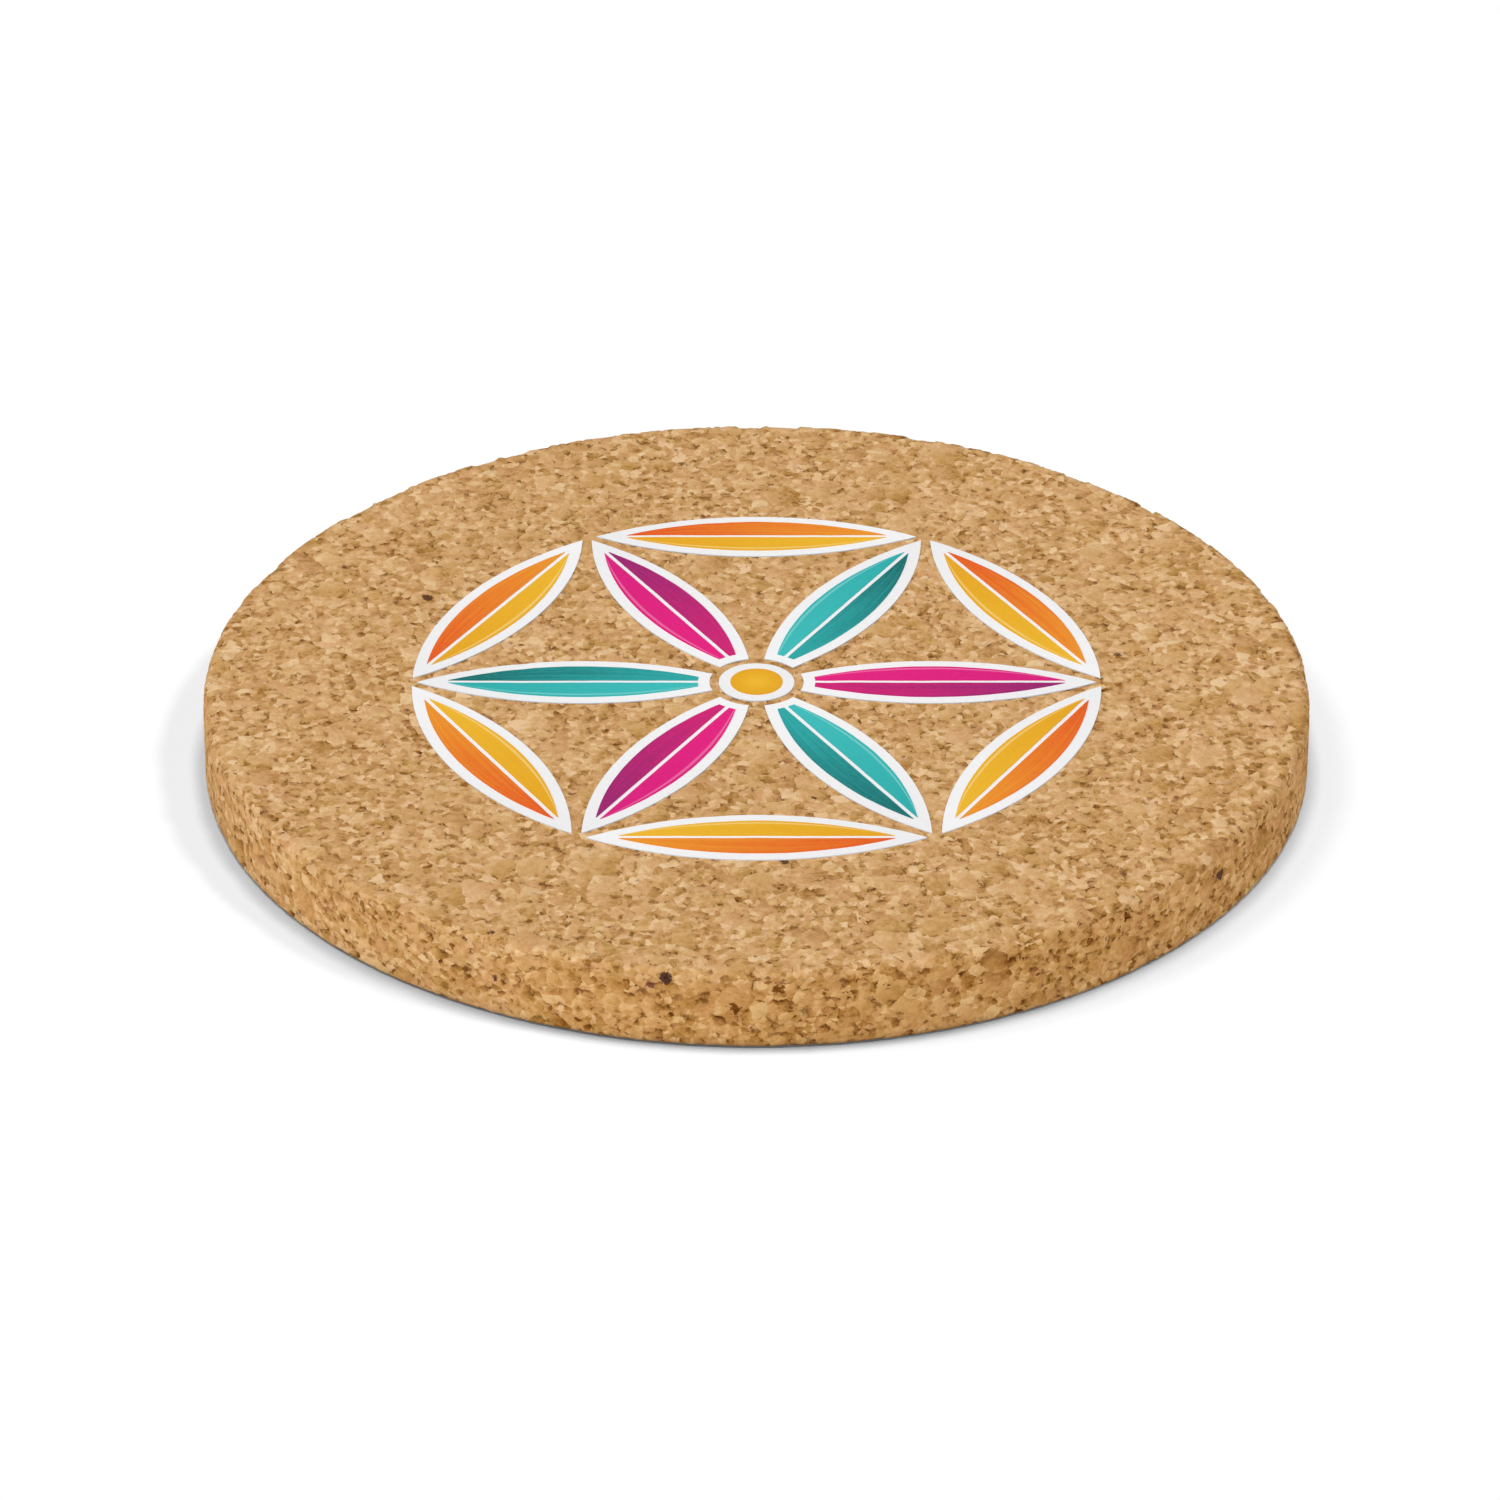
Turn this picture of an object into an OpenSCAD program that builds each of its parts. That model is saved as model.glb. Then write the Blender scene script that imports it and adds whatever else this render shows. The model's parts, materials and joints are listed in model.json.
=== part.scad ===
// Round drink coaster: a slab of agglomerated cork with a printed rosette on its top face.
// Millimetres. The origin is the centre of the underside, and +Z points up to the drink.

/* [Cork slab] */
// Diameter of the slab
slab_d = 95; // [85:0.5:110]
// Thickness of the slab
slab_t = 7; // [4:0.5:12]
// Radius of the softened edge round the top face
top_edge_r = 0.6; // [0.2:0.1:1.5]
// Radius of the softened edge round the underside
foot_edge_r = 0.4; // [0.2:0.1:1.5]

/* [Printed rosette] */
// Compass radius: it draws every petal, and its circle is the outside of the ring of petals
compass_r = 30; // [22:0.5:36]
// Bare cork between the white films of two neighbouring petals, where they come closest
petal_gap = 0.8; // [0.4:0.1:1.6]
// Width of the white outline round each coloured film
outline_w = 1; // [0.5:0.1:1.4]
// Width of the white vein between the light and the shaded half of a petal
vein_w = 0.4; // [0.2:0.1:0.8]
// Diameter of the coloured dot at the centre
dot_d = 4.5; // [3:0.5:8]

/* [Ink films] */
// Thickness of the white film that backs the colours
white_t = 0.1; // [0.05:0.01:0.2]
// Thickness of the coloured films
colour_t = 0.05; // [0.02:0.01:0.1]

/* [Hidden] */
$fn = 96;
slab_r = slab_d / 2;

// Six compass steps of one radius close the circle, so the petals stand a sixth of a turn apart.
petal_count = 6;
petal_turn = 360 / petal_count;
half_turn = 180;
quarter_turn = 90;

// A petal is the lens between two arcs whose centres lie this far either side of its axis.
arc_offset = compass_r * cos(petal_turn / 2);
white_arc_r = compass_r - petal_gap / 2;
colour_arc_r = white_arc_r - outline_w;

// The centre dot and its outline push back the ends of the inner petals.
dot_white_r = dot_d / 2 + outline_w;
inner_white_start_r = dot_white_r + petal_gap;
inner_colour_start_r = inner_white_start_r + outline_w;

white_z = slab_t;
colour_z = white_z + white_t;

// Screen colours of the cork and the inks
cork = "#c89c68";
white_ink = "#f1f0f1";
teal_inks = ["#37b5b3", "#0f8583"];
magenta_inks = ["#dd1a78", "#a61e6e"];
amber_inks = ["#e5ab23", "#e66d22"];

// Names of the films: a ring, a petal's number and a layer
rings = ["inner", "outer"];
layers = ["white", "light", "shade"];
function petal_name(ring, number, layer) = str(ring, "_petal_", number, "_", layer);

// Colour of a layer, from a pair of inks: the light half's and the shaded half's
function layer_colour(layer, inks) =
  layer == "white" ? white_ink : layer == "light" ? inks[0] : inks[1];

// Pressed slab, turned from its half section, with both edges softened
module cork_slab() {
  color(cork) rotate_extrude() {
    polygon([
      [0, 0],
      [slab_r - foot_edge_r, 0],
      [slab_r, foot_edge_r],
      [slab_r, slab_t - top_edge_r],
      [slab_r - top_edge_r, slab_t],
      [0, slab_t]
    ]);
    translate([slab_r - foot_edge_r, foot_edge_r]) circle(r = foot_edge_r);
    translate([slab_r - top_edge_r, slab_t - top_edge_r]) circle(r = top_edge_r);
  }
}

// White disc under the centre dot
module centre_white() {
  color(white_ink) translate([0, 0, white_z]) cylinder(r = dot_white_r, h = white_t);
}

// Coloured dot at the centre, where a drink stands
module centre_dot() {
  color(amber_inks[0]) translate([0, 0, colour_z]) cylinder(d = dot_d, h = colour_t);
}

// Outline of a petal about its own middle, with its axis along X
module lens(arc_r) {
  intersection() {
    translate([0, arc_offset]) circle(r = arc_r);
    translate([0, -arc_offset]) circle(r = arc_r);
  }
}

// Half of a lens on its +Y side, clear of the vein; a turn of half a circle gives the other half
module half_lens(arc_r) {
  difference() {
    lens(arc_r);
    translate([-compass_r, vein_w / 2 - compass_r]) square([2 * compass_r, compass_r]);
  }
}

// Outline of one layer of a petal: the whole lens in white, or a half of it in colour
module layer_outline(layer) {
  if (layer == "white") lens(white_arc_r);
  if (layer == "light") half_lens(colour_arc_r);
  if (layer == "shade") rotate(half_turn) half_lens(colour_arc_r);
}

// Film of one layer, at its height on the slab
module film(layer) {
  is_white = layer == "white";
  translate([0, 0, is_white ? white_z : colour_z])
    linear_extrude(height = is_white ? white_t : colour_t) children();
}

// Petal from the centre towards the ring, its inner end cut round to clear the dot
module inner_petal(number, layer) {
  inks = number % 2 == 1 ? teal_inks : magenta_inks;
  start_r = layer == "white" ? inner_white_start_r : inner_colour_start_r;
  color(layer_colour(layer, inks)) film(layer) rotate(number * petal_turn)
    difference() {
      translate([compass_r / 2, 0]) layer_outline(layer);
      circle(r = start_r);
    }
}

// Petal of the ring, across the gap between two inner petals
module outer_petal(number, layer) {
  color(layer_colour(layer, amber_inks)) film(layer) rotate((number + 1 / 2) * petal_turn)
    translate([arc_offset, 0]) rotate(quarter_turn) layer_outline(layer);
}

cork_slab();
centre_white();
centre_dot();
for (number = [1 : petal_count], layer = layers)
  inner_petal(number, layer);
for (number = [1 : petal_count], layer = layers)
  outer_petal(number, layer);
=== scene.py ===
"""Looks of a round cork drink coaster with a printed rosette on its top face.

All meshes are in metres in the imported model's frame: the origin is the centre of the underside, and +Z is up.
Patterns are worked out in millimetres, from a point's place on the slab before its relief is added.
"""

import json
import logging
import math
from dataclasses import dataclass, field
from enum import Enum
from itertools import product

import bmesh
import bpy
import numpy as np
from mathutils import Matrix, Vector


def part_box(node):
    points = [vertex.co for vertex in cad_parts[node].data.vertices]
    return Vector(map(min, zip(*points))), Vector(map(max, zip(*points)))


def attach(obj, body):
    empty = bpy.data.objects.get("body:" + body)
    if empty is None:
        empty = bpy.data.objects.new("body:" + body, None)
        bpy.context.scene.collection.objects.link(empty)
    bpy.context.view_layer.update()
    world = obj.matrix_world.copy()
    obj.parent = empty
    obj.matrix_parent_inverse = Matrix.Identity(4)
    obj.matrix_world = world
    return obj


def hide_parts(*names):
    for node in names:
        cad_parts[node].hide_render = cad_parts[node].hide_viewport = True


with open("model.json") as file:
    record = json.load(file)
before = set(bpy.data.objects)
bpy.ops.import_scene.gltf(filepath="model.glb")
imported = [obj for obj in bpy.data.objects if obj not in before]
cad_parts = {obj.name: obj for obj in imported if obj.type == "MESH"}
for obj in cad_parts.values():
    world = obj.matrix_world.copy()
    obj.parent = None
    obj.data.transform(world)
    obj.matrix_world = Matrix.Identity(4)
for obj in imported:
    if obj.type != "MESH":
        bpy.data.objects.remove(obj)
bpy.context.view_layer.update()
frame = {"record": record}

log = logging.getLogger("coaster")

Tree = bpy.types.NodeTree
Socket = bpy.types.NodeSocket
Outputs = bpy.types.NodeOutputs
Span = tuple[float, float]
Triple = tuple[float, float, float]
Ramp = tuple[float, float, float, float]  # the two ends of a range, then what they turn into

MM = 0.001
TINY = 0.001  # mm, which only keeps a division from 0
MEAN = 0.5  # of a noise, and of a random number from 0 to 1

# Attributes that the meshes carry and the finishes read
PLACE = "place_mm"
RIM = "rim_share"
ARRIS = "arris_share"
PETAL = "petal_share"

# Blender's names for the nodes and settings that are used most
MATH = "ShaderNodeMath"
VECTOR_MATH = "ShaderNodeVectorMath"
RANGE = "ShaderNodeMapRange"
MIX = "ShaderNodeMix"  # its input 0 is the share, 4 and 5 are vectors, and 6 and 7 are colours
NOISE = "ShaderNodeTexNoise"
VORONOI = "ShaderNodeTexVoronoi"
PARTS = "ShaderNodeSeparateXYZ"
ATTRIBUTE = "ShaderNodeAttribute"
BUMP = "ShaderNodeBump"
SHADER = "ShaderNodeBsdfPrincipled"
SURFACE = "ShaderNodeOutputMaterial"
SMOOTH = {"interpolation_type": "SMOOTHSTEP"}
# multiply mix, for the rim's tint and for the gaps' stain and painted shade
MULTIPLY_TINT = {"data_type": "RGBA", "blend_type": "MULTIPLY"}


def linear_rgb(text: str) -> tuple[float, float, float, float]:
    """Turns an sRGB hex colour into linear numbers for a shader socket.

    Args:
        text: Colour such as "#c89c68".

    Returns:
        Red, green and blue in linear light, and an alpha of 1.
    """
    srgb = np.array([int(text[k : k + 2], 16) for k in (1, 3, 5)]) / 255
    linear = np.where(srgb <= 0.04045, srgb / 12.92, ((srgb + 0.055) / 1.055) ** 2.4)
    return (*map(float, linear), 1.0)


def add(tree: Tree, kind: str, feeds: dict | tuple = (), **settings: object) -> Outputs:
    """Adds one node, with its settings, links and values.

    Args:
        tree: Node tree that takes the node.
        kind: Blender's name for the kind of node.
        feeds: Sockets to link and values to set, in the inputs' order or by an input's name or number.
        settings: The node's own properties.

    Returns:
        The new node's outputs.
    """
    node = tree.nodes.new(kind)
    for name, value in settings.items():
        setattr(node, name, value)
    for key, value in feeds.items() if isinstance(feeds, dict) else enumerate(feeds):
        if isinstance(value, Socket):
            tree.links.new(value, node.inputs[key])
        else:
            node.inputs[key].default_value = value
    return node.outputs


def new_material(name: str) -> bpy.types.Material:
    """Makes a material with an empty node tree.

    Args:
        name: The material's name.

    Returns:
        The material.
    """
    material = bpy.data.materials.new(name)
    material.use_nodes = True
    material.node_tree.nodes.clear()
    return material


@dataclass(frozen=True)
class Ripple:
    """A smooth random pattern of one size, in millimetres, with finer detail on it."""

    run: float
    detail: float
    roughness: float = 0.5

    def feeds(self, place: Socket) -> dict:
        """Gives what feeds a noise node that is read at a place."""
        return {"Vector": place, "Scale": 1 / self.run, "Detail": self.detail, "Roughness": self.roughness}


@dataclass(frozen=True)
class Cells:
    """The granule that a point lies in, as sockets of one node tree."""

    random: Socket  # three random numbers from 0 to 1 per granule
    edge: Socket  # mm to the nearest border between granules
    lean: Socket  # about -0.3 to 0.3 across a granule, along a direction of its own
    large: Socket  # one random number from 0 to 1 per cell of the largest size: the lowest stay whole
    loose: Socket  # another one
    flake: Socket  # one random number from 0 to 1 per cell of the smallest size


@dataclass(frozen=True)
class Grain:
    """The grain at a point, as sockets of one node tree."""

    cells: Cells
    run: Socket  # 0 to 1 along the granules' borders: they open where it is high
    crevice: Socket  # 0 on a granule, 1 in a gap where it dips under its neighbour
    pore: Socket  # 0 on a granule, 1 in a pore
    gap: Socket  # the larger of the last two
    height: Socket  # mm from the sanded face, below 0 where cork is missing


@dataclass(frozen=True)
class CorkGrain:
    """Pressed cork granules, in millimetres, shared by the slab's relief and by its colours.

    Space is split into cells about random points, three times over: whole granules, broken ones and crumbs.
    A cell keeps its whole granule or is split by the next size. The face of the slab is a slice through these
    cells, so a granule at the rim shows on both faces. Gaps open here and there along the cells' borders, and
    pores lie scattered.
    """

    sizes: Triple = (2.1, 1.2, 0.64)
    whole_shares: Triple = (0.1, 0.36, 1.0)  # of each size's cells that the next size doesn't split
    flatten: float = 1.2  # the press makes granules this much wider than they are thick
    draw: float = 1.1  # and this much longer along Y than along X
    ragged: Ripple = Ripple(1.2, 5.0, 0.7)  # pushes the granules' borders about
    ragged_reach: float = 0.8
    opening: Ripple = Ripple(0.75, 1.0)  # opens the borders here and there
    gap_widths: Ramp = (0.48, 0.74, 0.0, 0.31)
    gap_shows: Span = (0.07, 0.22)  # width at which a gap starts to show, and shows in full
    tear: Ripple = Ripple(0.4, 4.0)  # makes gaps and pores narrower and wider
    tearing: Ramp = (0.35, 0.65, 0.3, 1.4)
    dip_reach: float = 0.12  # lean at which a granule's gap has its full width
    pore_run: float = 1.8
    pore_rarity: float = 0.7
    pore_radius: float = 0.28
    rim_pore_radius: float = 0.6
    pore_slope: float = 0.16
    gap_depth: float = 0.1
    rim_deepening: float = 2.2
    shoulder_width: float = 0.3
    shoulder_drop: float = 0.006
    sunk_share: float = 0.7
    sunk_drop: float = 0.08
    tilt: float = 0.16

    def grow(self, tree: Tree, place: Socket, rim: Socket) -> Grain:
        """Adds the grain's nodes to a shader tree or a geometry tree.

        Args:
            tree: The tree.
            place: Position in millimetres.
            rim: 0 on the sanded faces, 1 on the sawn rim, whose pores are wider and deeper.

        Returns:
            The grain.
        """
        squeeze = (1, 1 / self.draw, self.flatten)
        pressed = add(tree, VECTOR_MATH, (place, squeeze), operation="MULTIPLY")[0]
        ragged = add(tree, NOISE, self.ragged.feeds(pressed))["Color"]
        push = add(tree, VECTOR_MATH, (ragged, (MEAN,) * 3), operation="SUBTRACT")[0]
        feeds = (push, (self.ragged_reach,) * 3, pressed)
        pushed = add(tree, VECTOR_MATH, feeds, operation="MULTIPLY_ADD")[0]

        cells = self.split(tree, pushed)
        torn = add(tree, NOISE, self.tear.feeds(pressed))[0]
        tearing = add(tree, RANGE, (torn, *self.tearing))[0]
        run = add(tree, NOISE, self.opening.feeds(pressed))[0]
        crevice = self.open_gaps(tree, cells, run, tearing)
        pore = self.open_pores(tree, pushed, tearing, rim)
        gap = add(tree, MATH, (crevice, pore), operation="MAXIMUM")[0]
        return Grain(cells, run, crevice, pore, gap, self.sink(tree, cells, gap, rim))

    def split(self, tree: Tree, pushed: Socket) -> Cells:
        """Splits space into granules, size by size.

        Args:
            tree: The tree.
            pushed: Position, pushed about so that borders are ragged.

        Returns:
            The granule at that position. Its lean is the product of a direction of its own and of the way
            from its middle.
        """
        random = edge = away = large = parts = broken = None
        far = self.sizes[0]
        for size, whole_share in zip(self.sizes, self.whole_shares):
            feeds = {"Vector": pushed, "Scale": 1 / size}
            point = add(tree, VORONOI, feeds, feature="F1")
            off = add(tree, VECTOR_MATH, (pushed, point["Position"]), operation="SUBTRACT")[0]
            off = add(tree, VECTOR_MATH, {0: off, "Scale": 1 / size}, operation="SCALE")[0]
            border = add(tree, VORONOI, feeds, feature="DISTANCE_TO_EDGE")["Distance"]
            border = add(tree, MATH, (border, size), operation="MULTIPLY")[0]
            parts = add(tree, PARTS, (point["Color"],))
            split = add(tree, MATH, (parts[0], whole_share), operation="GREATER_THAN")[0]
            if broken is None:
                random, edge, away, large, broken = point["Color"], border, off, parts, split
                continue
            # Where a larger granule is whole, this size's borders are put out of reach
            away = add(tree, MIX, {0: broken, 4: away, 5: off}, data_type="VECTOR")[1]
            random = add(tree, MIX, {0: broken, 4: random, 5: point["Color"]}, data_type="VECTOR")[1]
            absent = add(tree, MATH, (broken, -far, far), operation="MULTIPLY_ADD")[0]
            border = add(tree, MATH, (border, absent), operation="ADD")[0]
            edge = add(tree, MATH, (edge, border), operation="MINIMUM")[0]
            broken = add(tree, MATH, (split, broken), operation="MULTIPLY")[0]

        aim = add(tree, VECTOR_MATH, (random, (MEAN,) * 3), operation="SUBTRACT")[0]
        lean = add(tree, VECTOR_MATH, (away, aim), operation="DOT_PRODUCT")["Value"]
        return Cells(random, edge, lean, large[0], large[2], parts[2])

    def open_gaps(self, tree: Tree, cells: Cells, run: Socket, tearing: Socket) -> Socket:
        """Opens gaps along the granules' borders, on the sides where a granule dips.

        Args:
            tree: The tree.
            cells: The granules.
            run: Where the borders open.
            tearing: Factor of a gap's width.

        Returns:
            0 on a granule and 1 in a gap.
        """
        width = add(tree, RANGE, (run, *self.gap_widths))[0]
        width = add(tree, MATH, (width, tearing), operation="MULTIPLY")[0]
        dip = add(tree, RANGE, (cells.lean, 0.0, -self.dip_reach))[0]
        width = add(tree, MATH, (width, dip, TINY), operation="MULTIPLY_ADD")[0]
        crevice = add(tree, RANGE, (cells.edge, 0.0, width, 1.0, 0.0), **SMOOTH)[0]
        shown = add(tree, RANGE, (width, *self.gap_shows))[0]
        return add(tree, MATH, (crevice, shown), operation="MULTIPLY")[0]

    def open_pores(self, tree: Tree, pushed: Socket, tearing: Socket, rim: Socket) -> Socket:
        """Opens pores about scattered points.

        Args:
            tree: The tree.
            pushed: Position, pushed about so that pores aren't round.
            tearing: Factor of a pore's radius.
            rim: 0 on the sanded faces, 1 on the sawn rim.

        Returns:
            0 on a granule and 1 in a pore.
        """
        point = add(tree, VORONOI, {"Vector": pushed, "Scale": 1 / self.pore_run}, feature="F1")
        chance = add(tree, PARTS, (point["Color"],))[0]
        largest = add(tree, RANGE, (rim, 0.0, 1.0, -self.pore_radius, -self.rim_pore_radius))[0]
        radius = add(tree, RANGE, (chance, self.pore_rarity, 1.0, 0.0, largest))[0]
        radius = add(tree, MATH, (radius, tearing), operation="MULTIPLY")[0]
        feeds = (point["Distance"], self.pore_run, radius)
        beyond = add(tree, MATH, feeds, operation="MULTIPLY_ADD")[0]
        return add(tree, RANGE, (beyond, -self.pore_slope, 0.0, 1.0, 0.0), **SMOOTH)[0]

    def sink(self, tree: Tree, cells: Cells, gap: Socket, rim: Socket) -> Socket:
        """Adds up the relief: sunk and tilted granules with soft shoulders, and the gaps between them.

        Args:
            tree: The tree.
            cells: The granules.
            gap: 0 on a granule, 1 in a gap or a pore.
            rim: 0 on the sanded faces, 1 on the sawn rim, whose gaps are deeper.

        Returns:
            Height in millimetres, never above the sanded face.
        """
        own = add(tree, PARTS, (cells.random,))
        feeds = (cells.edge, 0.0, self.shoulder_width, -self.shoulder_drop, 0.0)
        shoulder = add(tree, RANGE, feeds, **SMOOTH)[0]
        sunk = add(tree, RANGE, (own[1], self.sunk_share, 0.0, 0.0, -self.sunk_drop))[0]
        rim_depth = self.gap_depth * self.rim_deepening
        depth = add(tree, RANGE, (rim, 0.0, 1.0, -self.gap_depth, -rim_depth))[0]
        height = add(tree, MATH, (gap, depth, sunk), operation="MULTIPLY_ADD")[0]
        height = add(tree, MATH, (height, shoulder), operation="ADD")[0]
        height = add(tree, MATH, (cells.lean, self.tilt, height), operation="MULTIPLY_ADD")[0]
        return add(tree, MATH, (height, 0.0), operation="MINIMUM")[0]

    def sample(self, place: np.ndarray, rim: np.ndarray) -> tuple[np.ndarray, np.ndarray]:
        """Works out the grain at points, by running its nodes once on a mesh of loose points.

        Args:
            place: Points in millimetres, an array of n rows.
            rim: 0 on the sanded faces, 1 on the sawn rim, n values.

        Returns:
            Height in millimetres and looseness, n values each.
        """
        mesh = bpy.data.meshes.new("grain_probe")
        mesh.vertices.add(len(place))
        mesh.vertices.foreach_set("co", place.astype(np.float32).ravel())
        keep_values(mesh, RIM, rim)
        probe = bpy.data.objects.new("grain_probe", mesh)
        bpy.context.scene.collection.objects.link(probe)

        tree = bpy.data.node_groups.new("grain_probe", "GeometryNodeTree")
        for way in ("INPUT", "OUTPUT"):
            tree.interface.new_socket("Geometry", in_out=way, socket_type="NodeSocketGeometry")
        shape = add(tree, "NodeGroupInput")[0]
        position = add(tree, "GeometryNodeInputPosition")[0]
        sawn = add(tree, "GeometryNodeInputNamedAttribute", {"Name": RIM}, data_type="FLOAT")["Attribute"]
        grain = self.grow(tree, position, sawn)
        kept = {"height": grain.height, "loose": grain.cells.loose}
        for name, value in kept.items():
            feeds = {"Geometry": shape, "Name": name, "Value": value}
            shape = add(tree, "GeometryNodeStoreNamedAttribute", feeds, data_type="FLOAT", domain="POINT")[0]
        add(tree, "NodeGroupOutput", (shape,))
        probe.modifiers.new("grain", "NODES").node_group = tree

        found = probe.evaluated_get(bpy.context.evaluated_depsgraph_get()).data
        columns = np.zeros((len(kept), len(place)), np.float32)
        for name, column in zip(kept, columns):
            found.attributes[name].data.foreach_get("value", column)
        bpy.data.objects.remove(probe)
        bpy.data.meshes.remove(mesh)
        bpy.data.node_groups.remove(tree)
        return columns[0].astype(float), columns[1].astype(float)


@dataclass(frozen=True)
class CorkSockets:
    """What the steps of the cork's finish read, as sockets of its node tree."""

    tree: Tree
    place: Socket  # mm, before the relief
    rim: Socket  # 0 on the faces and 1 on the rim, granule by granule
    wear_and_shade: Socket  # 1 on the top arris, 0 away from it: where the arris chips, and where its painted shade lies
    grain: Grain
    own: Outputs  # three random numbers from 0 to 1 per granule
    fibre: Socket  # 0 to 1, streaked along a granule's own direction
    patch: Outputs  # three slow patterns from 0 to 1 over the slab
    pale: Socket  # share of the pale colour, above 0 on a few granules


@dataclass(frozen=True)
class AgglomeratedCork:
    """Agglomerated cork: bark granules pressed in a binder, sawn round and sanded, left unsealed.

    The eye sees matt flakes of many tans, each with its own tone and its own direction of fibre, short brown
    gaps between them, a few pale flakes and small dark bits of outer bark. The gaps' brown is partly their own
    stain and partly painted shade, and the flakes carry painted facet shading, painted shade round their open
    borders and a painted highlight along their closed ones; the top arris has painted shade. The sawn rim has
    deeper pores, and a darker, warmer tint that is partly painted shade of the side wall; its look fades
    towards
    -X as a painted lighter left side. Tones run from 0, the darkest, to 1. A pair of values is for the faces
    and the rim, unless its comment says otherwise.
    """

    grain: CorkGrain
    tones: tuple[tuple[float, str], ...] = (
        (0.0, "#7d4d17"),
        (0.12, "#94642e"),
        (0.3, "#b18248"),
        (0.5, "#c69761"),
        (0.7, "#d3a672"),
        (0.86, "#dbb17f"),
        (1.0, "#e7c294"),
    )
    base_tone: float = -0.142
    granule_tone: float = 0.36
    crumb_tones: Span = (0.22, 0.34)  # inside whole granules of the largest size, and elsewhere
    whole_fade: float = 0.9  # share of such a granule's chance at which that change starts
    # painted shade on the top arris, darker where its rounding would catch a band of light
    arris_painted_shade: float = -0.14
    # painted shade: the rim's tone sits a little lower than the faces'
    rim_tone: float = -0.02
    patch_tones: Span = (0.34, 0.39)
    # painted facet shading: a granule is paler on its raised side and darker on its low side
    painted_facet_shading: Span = (0.5, 0.74)
    # painted shade round a granule's border where it opens; the next two fields give its reach and where
    # borders open
    open_painted_shade: Span = (-0.1, -0.16)
    open_reach: float = 0.4
    open_runs: Span = (0.46, 0.66)  # where a border starts to open, and is open
    # painted highlight along a granule's closed borders
    lip_highlight_tones: Ramp = (0.0, 0.22, 0.13, 0.0)
    lip_runs: Span = (0.54, 0.4)  # where a border starts to close, and is closed
    fibre_tone: float = 1.1

    rim_gain: float = 1.6
    rim_spread: float = 0.6  # how much later than others a granule may take the rim's look
    fibre: Ripple = Ripple(0.36, 4.0, 0.75)
    fibre_length: float = 2.4  # streaks are this much longer than they are wide
    fibre_turns: float = 2.0  # most turns of a granule's fibre about its axis
    fibre_height: float = 0.06
    patch: Ripple = Ripple(3.2, 2.0)

    pink: str = "#daa87c"
    pink_granules: Ramp = (0.28, 0.0, 0.0, 0.36)
    pink_patches: Ramp = (0.5, 0.75, 0.0, 0.35)
    olive: str = "#c9a25c"
    olive_granules: Ramp = (0.55, 0.8, 0.0, 0.22)
    pale: str = "#ebcda2"
    pale_chance: float = 0.03  # among granules under the largest size
    pale_share: float = 0.27
    # warm, darker tint of the sawn rim: partly its own deeper cork, partly painted shade of the side wall
    rim_tint: str = "#faefd8"
    # brown of the gaps and pores: partly their own stain, partly painted shade in them
    gap_stain_and_shade: str = "#a68738"
    crevice_shares: Span = (0.62, 0.6)
    pore_shares: Span = (0.8, 1.0)

    bark: str = "#4c2c1f"
    bark_run: float = 2.4
    bark_rarity: float = 0.94
    bark_radius: float = 0.65
    bark_bits: tuple[tuple[Triple, float, str], ...] = (
        ((-7.4, -46.8, 6.3), 0.62, "#3f2320"),
        ((-8.7, -46.7, 5.5), 0.44, "#7a4636"),
        ((38.5, -27.7, 4.5), 0.6, "#472a22"),
    )
    bark_ragged: float = 1.1
    bark_border: Ramp = (0.41, 0.51, 0.92, 0.0)

    roughness: Span = (0.72, 0.95)  # where the fibre is 0, and where it is 1
    gloss: float = 0.08

    def material(self) -> bpy.types.Material:
        """Makes the finish as a node material that reads the slab's own attributes.

        Returns:
            The material.
        """
        material = new_material("agglomerated_cork_sanded")
        tree = material.node_tree
        at = self.spread(tree)
        colour = self.speckle(at, self.tint(at, self.tone(at)))
        pit = add(tree, MATH, (at.grain.gap, -self.grain.gap_depth), operation="MULTIPLY")[0]
        fine = add(tree, MATH, (at.fibre, self.fibre_height, pit), operation="MULTIPLY_ADD")[0]
        bump = add(tree, BUMP, {"Height": fine, "Strength": 1.0, "Distance": MM})[0]
        rough = add(tree, RANGE, (at.fibre, 0.0, 1.0, *self.roughness))[0]
        feeds = {"Base Color": colour, "Normal": bump, "Roughness": rough, "Specular IOR Level": self.gloss}
        add(tree, SURFACE, (add(tree, SHADER, feeds)[0],))
        return material

    def spread(self, tree: Tree) -> CorkSockets:
        """Adds the slab's attributes, its grain, and the patterns that several steps read.

        The fibre is a noise drawn out along an axis that is turned with each granule's random numbers.

        Args:
            tree: The material's tree.

        Returns:
            The sockets.
        """
        place = add(tree, ATTRIBUTE, attribute_name=PLACE)["Vector"]
        rim = add(tree, ATTRIBUTE, attribute_name=RIM)["Fac"]
        # closeness to the arris, read for the painted shade there
        wear_and_shade = add(tree, ATTRIBUTE, attribute_name=ARRIS)["Fac"]
        grain = self.grain.grow(tree, place, rim)
        own = add(tree, PARTS, (grain.cells.random,))
        later = add(tree, MATH, (own[0], -self.rim_spread), operation="MULTIPLY")[0]
        rim = add(tree, MATH, (rim, self.rim_gain, later), operation="MULTIPLY_ADD", use_clamp=True)[0]

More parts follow.
